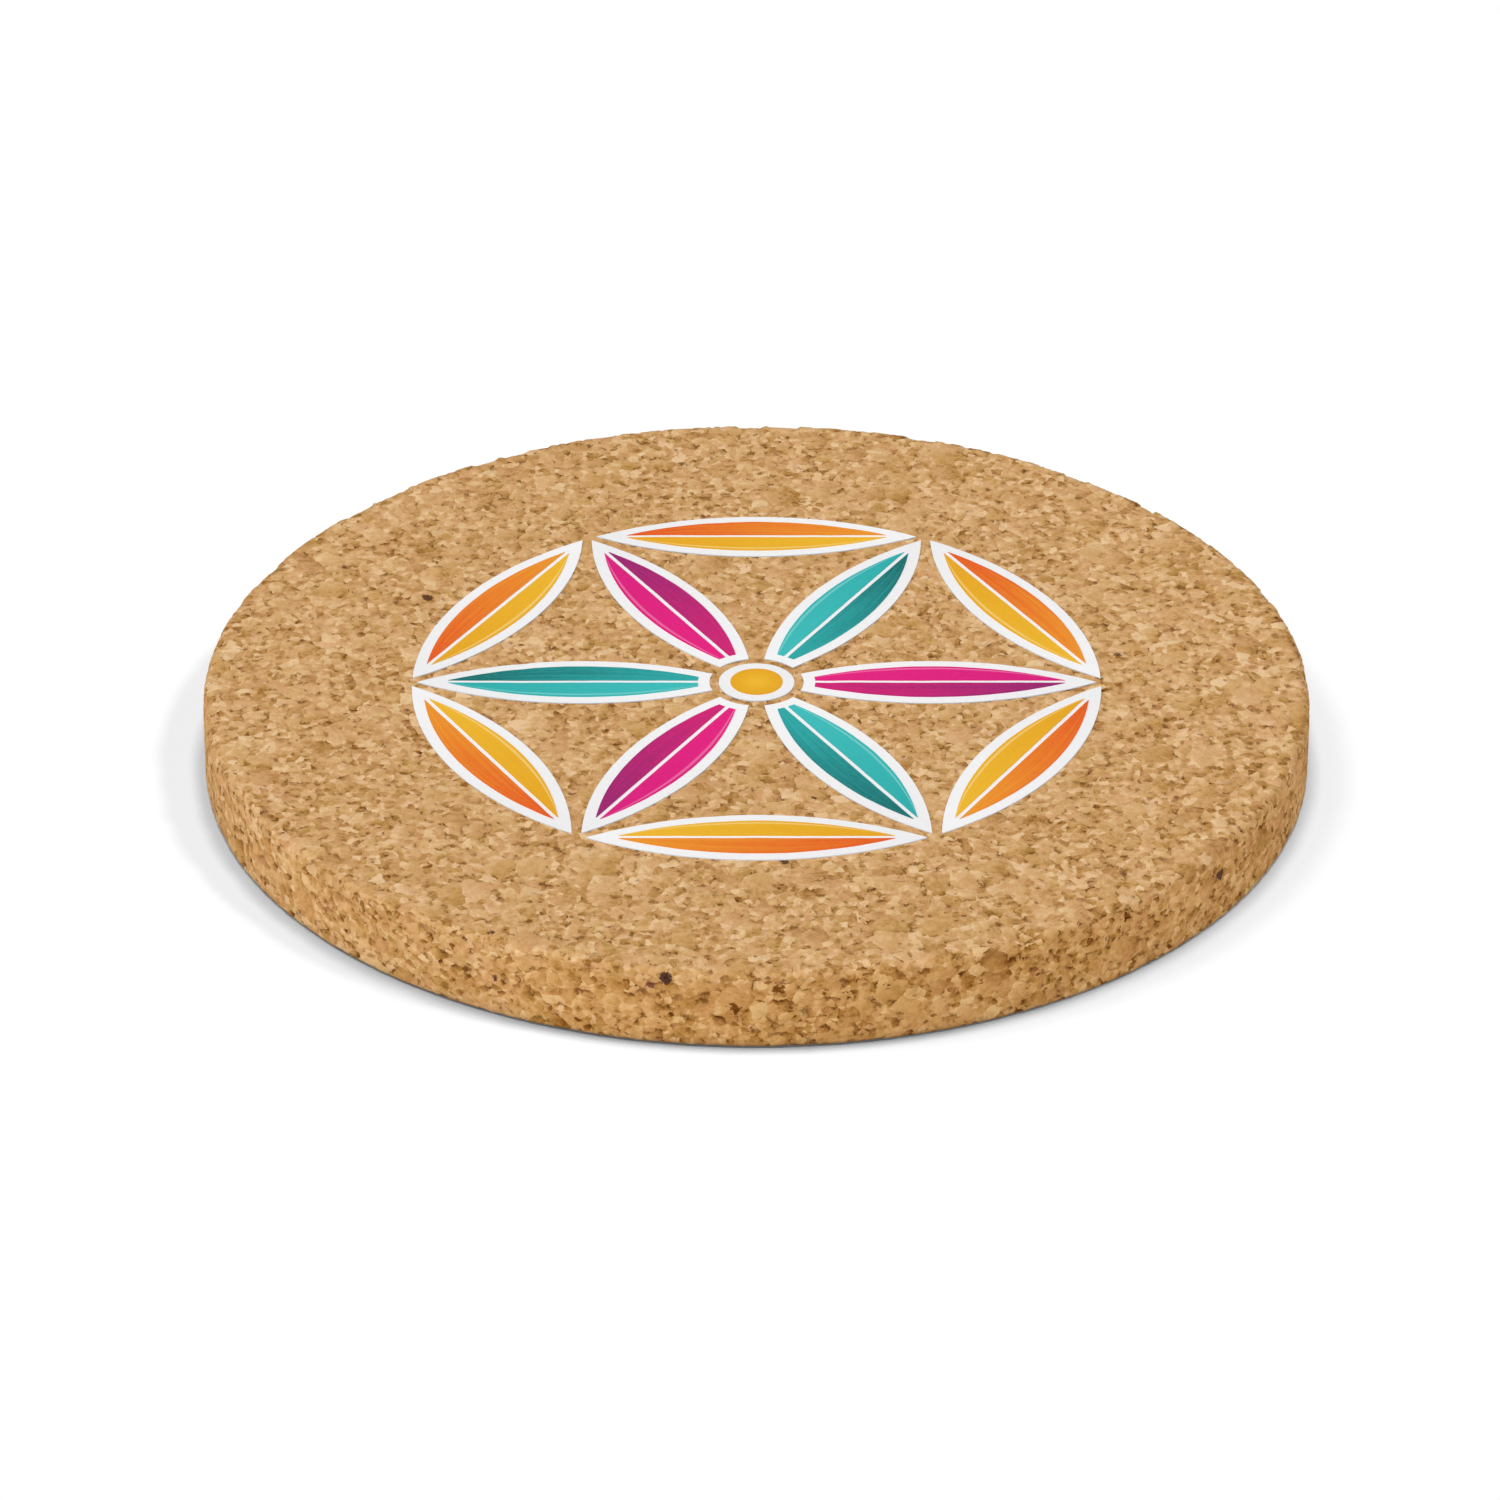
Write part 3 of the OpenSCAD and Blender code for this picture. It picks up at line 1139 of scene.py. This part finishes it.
@dataclass
class Rosette:
    """The printed films, draped over the granules. Sizes are in millimetres."""

    bed: PrintBed
    face_z: float
    white_film: float
    colour_film: float
    compass: float
    white_arc: float
    outline: float
    vein: float
    dot: float
    petals: int = 6
    drape: float = 0.5  # share of the bed's relief that a film follows
    cell: float = 0.4
    half_columns: int = 6  # cells across half a petal
    merge: float = 0.002
    crease: float = math.pi / 4

    @classmethod
    def from_frame(cls, grain: CorkGrain) -> "Rosette":
        """Works the rosette's sizes out from the boxes of its CAD nodes.

        The outer ring's first petal ends at its white arc's radius. Half the width of the last inner petal,
        whose axis is +X, is that radius less the arcs' offset, which is the compass radius times the cosine
        of a twelfth of a turn.

        Args:
            grain: Pattern of the granules under the print.

        Returns:
            The rosette.
        """
        white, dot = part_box("centre_white"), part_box("centre_dot")
        white_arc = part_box("outer_petal_1_white")[1].y / MM
        offset = white_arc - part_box("inner_petal_6_white")[1].y / MM
        face_z = white[0].z / MM
        return cls(
            PrintBed(grain, face_z, white_arc),
            face_z=face_z,
            white_film=(white[1].z - white[0].z) / MM,
            colour_film=(dot[1].z - dot[0].z) / MM,
            compass=offset / math.cos(math.pi / cls.petals),
            white_arc=white_arc,
            outline=(white[1].x - dot[1].x) / MM,
            vein=2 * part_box("inner_petal_6_light")[0].y / MM,
            dot=dot[1].x / MM,
        )

    def dress(self, inks: dict[str, PrintedInk]) -> None:
        """Builds every film and gives it its ink.

        Args:
            inks: The inks, by the record's slots.
        """
        finishes = {slot: ink.material() for slot, ink in inks.items()}
        slots = {row["node"]: row["material_slot"] for row in frame["record"]["subparts"]}
        films = {
            "centre_white": (Layer.WHITE, self.disc(self.dot + self.outline)),
            "centre_dot": (Layer.LIGHT, self.disc(self.dot)),
        }
        for ring, number, layer in product(Ring, range(1, self.petals + 1), Layer):
            node = f"{ring.value}_petal_{number}_{layer.value}"
            films[node] = layer, self.petal(ring, number, layer)
        for node, (layer, grid) in films.items():
            film = self.lay(f"{node}_film", layer, *grid)
            finished_piece(film, node, finishes[slots[node]])

    def disc(self, radius: float) -> tuple[np.ndarray, np.ndarray]:
        """Grid over a disc about the centre.

        Args:
            radius: The disc's radius.

        Returns:
            Points (rows, columns, 2), and their petal attribute: the share of the way out, 0, and that share
            again.
        """
        unit = square_to_disc(2 * math.ceil(radius / self.cell))
        along = np.linalg.norm(unit, axis=-1)
        return unit * radius, np.stack([along, np.zeros_like(along), along], axis=-1)

    def petal(self, ring: Ring, number: int, layer: Layer) -> tuple[np.ndarray, np.ndarray]:
        """Grid over one film of a petal.

        In polar terms about a compass point at the petal's inner end, with its axis at angle 0, the lens
        between two arcs of radius r, whose centres lie one compass step c away and a sixth of a turn either
        side, is |angle| <= acos((p^2 + c^2 - r^2) / (2 p c)) - 60 degrees at distance p. A half also keeps
        clear of the vein of width w: angle >= asin(w / 2 / p). Distance p is the grid's one parameter and
        the share of the way between the two angles is the other.

        Args:
            ring: Inner petals start at the centre, outer ones at the end of an inner petal.
            number: The petal's number, from 1.
            layer: Which of its films.

        Returns:
            Points (rows, columns, 2), and their petal attribute: the shares of the way along and across, and
            a number of the petal's own.
        """
        white = layer is Layer.WHITE
        step = math.tau / self.petals
        arc = self.white_arc - (0 if white else self.outline)
        vein = 0 if white else self.vein / 2
        reach = math.sqrt(arc**2 - (vein + self.compass * math.cos(step / 2)) ** 2)
        low, high = (math.hypot(self.compass / 2 + side * reach, vein) for side in (-1, 1))
        if ring is Ring.INNER:
            gap = 2 * (self.compass - self.white_arc)
            start = self.dot + self.outline + gap
            low = max(low, start if white else start + self.outline)

        rows = math.ceil((high - low) / self.cell) + 1
        columns = self.half_columns * (2 if white else 1) + 1
        far = np.linspace(low, high, rows)[:, None]
        cosine = (far**2 + self.compass**2 - arc**2) / (2 * far * self.compass)
        widest = np.arccos(np.clip(cosine, -1, 1)) - step
        nearest = np.arcsin(vein / far) if vein else -widest
        across = np.linspace(0, 1, columns)[None]
        angle = nearest + (np.maximum(widest, nearest) - nearest) * across
        if layer is Layer.SHADE:
            angle, across = -angle[:, ::-1], across[:, ::-1]
        turn = number * step
        origin = np.zeros(2)
        if ring is Ring.OUTER:
            origin = self.compass * np.array([math.cos(turn), math.sin(turn)])
            turn += 2 * step
        points = origin + np.stack([far * np.cos(angle + turn), far * np.sin(angle + turn)], axis=-1)
        along = (far - low) / (high - low)
        own = np.array([[number * self.compass]])
        shares = [np.broadcast_to(part, angle.shape) for part in (along, across, own)]
        return points, np.stack(shares, axis=-1)

    def lay(self, name: str, layer: Layer, points: np.ndarray, petal: np.ndarray) -> bpy.types.Mesh:
        """Makes one film as a closed sheet on the granules.

        The film's height is that of the face plus a share of the grain's relief, which is never above the
        face, so the film bridges the gaps between granules.

        Args:
            name: The film's name.
            layer: White lies on the cork, and colours on the white.
            points: Grid over the film, (rows, columns, 2).
            petal: The points' petal attribute, (rows, columns, 3).

        Returns:
            The film's mesh.
        """
        flat = points.reshape(-1, 2)
        face = np.column_stack([flat, np.full(len(flat), self.face_z)])
        white = layer is Layer.WHITE
        low = self.face_z + self.drape * self.bed.at(flat) + (0 if white else self.white_film)
        high = low + (self.white_film if white else self.colour_film)
        solid = np.concatenate([np.column_stack([flat, high]), np.column_stack([flat, low])])

        top = np.arange(len(flat)).reshape(points.shape[:2])
        under = top + len(flat)
        borders = (
            (top[::-1, 0], under[::-1, 0]),
            (top[:, -1], under[:, -1]),
            (top[0], under[0]),
            (top[-1, ::-1], under[-1, ::-1]),
        )
        walls = [np.stack([over[1:], over[:-1], base[:-1], base[1:]], axis=-1) for over, base in borders]
        mesh = mesh_from(name, solid * MM, grid_quads(top), grid_quads(under)[:, ::-1], *walls)
        keep_values(mesh, PLACE, np.concatenate([face, face]))
        keep_values(mesh, PETAL, np.tile(petal.reshape(-1, 3), (2, 1)))
        self.close_tips(mesh)
        return mesh

    def close_tips(self, mesh: bpy.types.Mesh) -> None:
        """Merges the points that meet at a petal's tip, and keeps the film's border sharp.

        Args:
            mesh: The film's mesh.
        """
        work = bmesh.new()
        work.from_mesh(mesh)
        bmesh.ops.remove_doubles(work, verts=work.verts, dist=self.merge * MM)
        bmesh.ops.recalc_face_normals(work, faces=work.faces)
        work.to_mesh(mesh)
        work.free()
        mesh.set_sharp_from_angle(angle=self.crease)


@dataclass(frozen=True)
class Lamp:
    """A soft sun."""

    name: str
    lit: Group
    azimuth: float  # degrees from the camera's side, towards +X
    elevation: float  # degrees
    width: float  # degrees across, seen from the coaster
    share: float  # of the light on a level face


@dataclass
class Studio:
    """White sweep, soft lamps and the camera."""

    sky_share: float = 0.1
    floor_white: str = "#ffffff"
    floor_reach: float = 3.0  # metres
    floor_cells: int = 16
    lamps: tuple[Lamp, ...] = (
        Lamp("front_softbox", Group.COASTER, 0, 44, 40, 0.22),
        Lamp("left_softbox", Group.COASTER, -70, 25, 40, 0.15),
        Lamp("high_left_softbox", Group.COASTER, -70, 70, 40, 0.21),
        Lamp("right_softbox", Group.COASTER, 80, 60, 30, 0.32),
        Lamp("floor_left_softbox", Group.FLOOR, -97, 61, 18, 0.14),
        Lamp("floor_right_softbox", Group.FLOOR, 85, 57, 9, 0.15),
        Lamp("floor_high_left_softbox", Group.FLOOR, -124, 83, 14, 0.33),
        Lamp("floor_high_right_softbox", Group.FLOOR, 127, 80, 12, 0.29),
    )
    camera_elevation: float = 30.29  # degrees
    camera_distance: float = 685.3  # mm
    target: Triple = (-0.563, 0.52, 0.0)  # mm
    focal_px: float = 7928.0
    image_px: float = 1500.0
    sensor: float = 36.0  # mm
    clip: Span = (0.01, 20.0)  # metres

    def light(self) -> None:
        """Sets the sky and the lamps, whose shares add up to about 1, where a colour looks as written."""
        world = bpy.data.worlds.new("studio")
        bpy.context.scene.world = world
        world.use_nodes = True
        tree = world.node_tree
        tree.nodes.clear()
        path = add(tree, "ShaderNodeLightPath")
        seen = path["Is Camera Ray"]
        for ray in ("Is Glossy Ray", "Is Transmission Ray"):
            seen = add(tree, MATH, (seen, path[ray]), operation="MAXIMUM")[0]
        strength = add(tree, RANGE, (seen, 0.0, 1.0, self.sky_share, 1.0))[0]
        sky = add(tree, "ShaderNodeBackground", {"Color": (1, 1, 1, 1), "Strength": strength})[0]
        add(tree, "ShaderNodeOutputWorld", {"Surface": sky})
        for lamp in self.lamps:
            turn, rise = math.radians(lamp.azimuth), math.radians(lamp.elevation)
            data = bpy.data.lights.new(lamp.name, "SUN")
            data.energy = lamp.share * math.pi / math.sin(rise)  # pi overhead shows a colour as written
            data.angle = math.radians(lamp.width)
            level = math.cos(rise)
            towards = Vector((math.sin(turn) * level, -math.cos(turn) * level, math.sin(rise)))
            sun = bpy.data.objects.new(lamp.name, data)
            sun.rotation_euler = towards.to_track_quat("Z", "Y").to_euler()
            sun.light_linking.receiver_collection = lamp.lit.collection()
            bpy.context.scene.collection.objects.link(sun)

    def lay_floor(self) -> None:
        """Lays the white floor, a level disc whose middle is under the coaster."""
        points = square_to_disc(self.floor_cells).reshape(-1, 2) * self.floor_reach
        points = np.column_stack([points, np.zeros(len(points))])
        mesh = mesh_from("floor", points, grid_quads(square_index(self.floor_cells)))
        material = new_material("white_paper_sweep")  # matt, so it shows the shadow and no gloss
        feeds = {"Base Color": linear_rgb(self.floor_white), "Roughness": 1.0, "Specular IOR Level": 0.0}
        add(material.node_tree, SURFACE, (add(material.node_tree, SHADER, feeds)[0],))
        mesh.materials.append(material)
        floor = bpy.data.objects.new("floor", mesh)
        Group.FLOOR.collection().objects.link(floor)

    def place_camera(self) -> None:
        """Places the camera that the photograph's outline was fitted with."""
        data = bpy.data.cameras.new("camera")
        data.sensor_width = self.sensor
        data.lens = self.sensor * self.focal_px / self.image_px
        data.clip_start, data.clip_end = self.clip
        rise = math.radians(self.camera_elevation)
        back = Vector((0, -math.cos(rise), math.sin(rise)))
        camera = bpy.data.objects.new("camera", data)
        camera.location = (Vector(self.target) + back * self.camera_distance) * MM
        camera.rotation_euler = back.to_track_quat("Z", "Y").to_euler()
        bpy.context.scene.collection.objects.link(camera)
        bpy.context.scene.camera = camera

    def build(self) -> None:
        """Builds the whole studio."""
        self.place_camera()
        self.lay_floor()
        self.light()
        bpy.context.scene.view_settings.view_transform = "Standard"


def main() -> None:
    """Builds the studio, the slab and the print, in that order."""
    logging.basicConfig(level=logging.INFO, format="%(name)s: %(message)s")
    Studio().build()
    grain = CorkGrain()
    CorkSlab.from_frame(grain).dress(AgglomeratedCork(grain))
    Rosette.from_frame(grain).dress(INKS)


if __name__ == "__main__":
    main()
